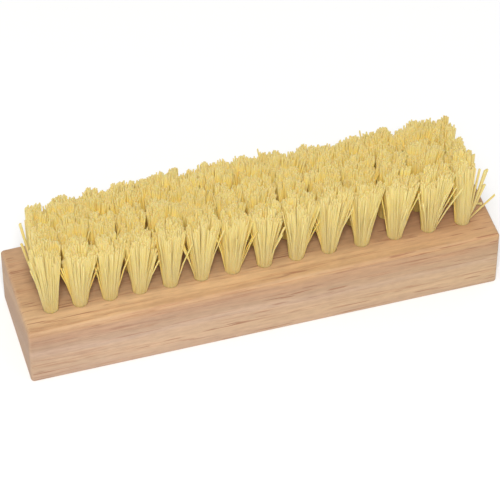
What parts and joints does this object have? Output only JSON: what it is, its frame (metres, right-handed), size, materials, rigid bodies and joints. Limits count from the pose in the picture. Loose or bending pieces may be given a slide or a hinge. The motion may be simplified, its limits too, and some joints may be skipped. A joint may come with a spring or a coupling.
{
  "type": "nail brush",
  "caption": "Straight rectangular nail brush: a hardwood block with rows of flared plant-fibre tufts, each stapled into a blind hole in the block's face.",
  "frame": {"origin": "centre of the block's back face, the face opposite the bristles", "axes": "+X along the block, +Y across it away from the front long side, +Z from the back face up through the bristles"},
  "size_m": [0.1, 0.025, 0.0305],
  "materials": {
    "block_wood": "sanded, unvarnished",
    "bristle_fibre": "dry plant fibre, cut ends",
    "staple_wire": "drawn wire"
  },
  "bodies": {
    "root": {"block": "block_wood", "bristle_row_front": "bristle_fibre", "bristle_row_middle": "bristle_fibre", "bristle_row_back": "bristle_fibre", "staple_front_01": "staple_wire", "staple_front_02": "staple_wire", "staple_front_03": "staple_wire", "staple_front_04": "staple_wire", "staple_front_05": "staple_wire", "staple_front_06": "staple_wire", "staple_front_07": "staple_wire", "staple_front_08": "staple_wire", "staple_front_09": "staple_wire", "staple_front_10": "staple_wire", "staple_front_11": "staple_wire", "staple_front_12": "staple_wire", "staple_front_13": "staple_wire", "staple_front_14": "staple_wire", "staple_middle_01": "staple_wire", "staple_middle_02": "staple_wire", "staple_middle_03": "staple_wire", "staple_middle_04": "staple_wire", "staple_middle_05": "staple_wire", "staple_middle_06": "staple_wire", "staple_middle_07": "staple_wire", "staple_middle_08": "staple_wire", "staple_middle_09": "staple_wire", "staple_middle_10": "staple_wire", "staple_middle_11": "staple_wire", "staple_middle_12": "staple_wire", "staple_middle_13": "staple_wire", "staple_middle_14": "staple_wire", "staple_back_01": "staple_wire", "staple_back_02": "staple_wire", "staple_back_03": "staple_wire", "staple_back_04": "staple_wire", "staple_back_05": "staple_wire", "staple_back_06": "staple_wire", "staple_back_07": "staple_wire", "staple_back_08": "staple_wire", "staple_back_09": "staple_wire", "staple_back_10": "staple_wire", "staple_back_11": "staple_wire", "staple_back_12": "staple_wire", "staple_back_13": "staple_wire", "staple_back_14": "staple_wire"}
  },
  "joints": []
}
